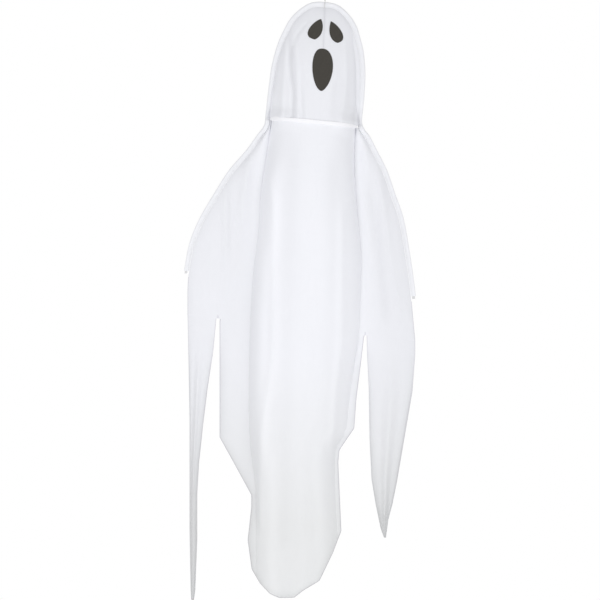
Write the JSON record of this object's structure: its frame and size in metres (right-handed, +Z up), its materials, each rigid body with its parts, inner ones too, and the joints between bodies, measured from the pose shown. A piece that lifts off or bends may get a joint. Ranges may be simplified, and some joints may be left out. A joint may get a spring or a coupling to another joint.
{
  "type": "hanging ghost decoration",
  "caption": "Cloth ghost on a bent rod frame, with a felt face, pointed sleeves and a long tail, hung by a cord loop that lets it swing and turn.",
  "frame": {"origin": "inside top of the cord loop, where a hook carries the ghost", "axes": "+Z up, +X to the viewer's right, the face looks along -Y"},
  "size_m": [0.8248, 0.1589, 2.2265],
  "materials": {
    "cord": "twisted cord, matte",
    "cloth": "thin woven polyester, matte",
    "casing": "folded and stitched cloth channel, matte",
    "rod": "drawn fibre rod, smooth",
    "plastic": "moulded, satin",
    "felt": "felt, matte"
  },
  "bodies": {
    "cord": {"hang_loop": "cord", "loop_knot": "cord", "hang_cord": "cord"},
    "crown_knot": {"crown_knot": "cord"},
    "crown_tie": {"crown_tie": "cord"},
    "ghost": {"head_arch_rod": "rod", "head_casing": "casing", "neck_hoop": "rod", "hoop_joiner": "plastic", "neck_casing_front": "casing", "neck_casing_back_left": "casing", "neck_casing_back_right": "casing", "left_elbow": "plastic", "right_elbow": "plastic", "left_shoulder_rod": "rod", "right_shoulder_rod": "rod", "left_shoulder_casing": "casing", "right_shoulder_casing": "casing", "left_rod_cap": "plastic", "right_rod_cap": "plastic", "head_front_left": "cloth", "head_front_right": "cloth", "head_back": "cloth", "left_eye": "felt", "right_eye": "felt", "mouth": "felt", "gown_front": "cloth", "gown_back": "cloth", "left_slit_tack": "casing", "right_slit_tack": "casing"},
    "left_sleeve": {"left_sleeve_front": "cloth", "left_sleeve_back": "cloth"},
    "right_sleeve": {"right_sleeve_front": "cloth", "right_sleeve_back": "cloth"}
  },
  "joints": [
    {"name": "ghost_spin", "type": "hinge", "parent": "cord", "child": "crown_knot", "pos_m": [0, 0, -0.0911], "axis": [0, 0, 1], "continuous": true},
    {"name": "ghost_swing", "type": "hinge", "parent": "crown_knot", "child": "crown_tie", "pos_m": [0, 0, -0.0911], "axis": [1, 0, 0], "range_deg": [-25, 25]},
    {"name": "ghost_tilt", "type": "hinge", "parent": "crown_tie", "child": "ghost", "pos_m": [0, 0, -0.0911], "axis": [0, 1, 0], "range_deg": [-12, 12]},
    {"name": "left_sleeve_swing", "type": "hinge", "parent": "ghost", "child": "left_sleeve", "pos_m": [-0.437, 0, -1.2169], "axis": [0.9935, 0, -0.1138], "range_deg": [-25, 25]},
    {"name": "right_sleeve_swing", "type": "hinge", "parent": "ghost", "child": "right_sleeve", "pos_m": [0.2345, 0, -1.2938], "axis": [0.9935, 0, -0.1138], "range_deg": [-25, 25]}
  ]
}
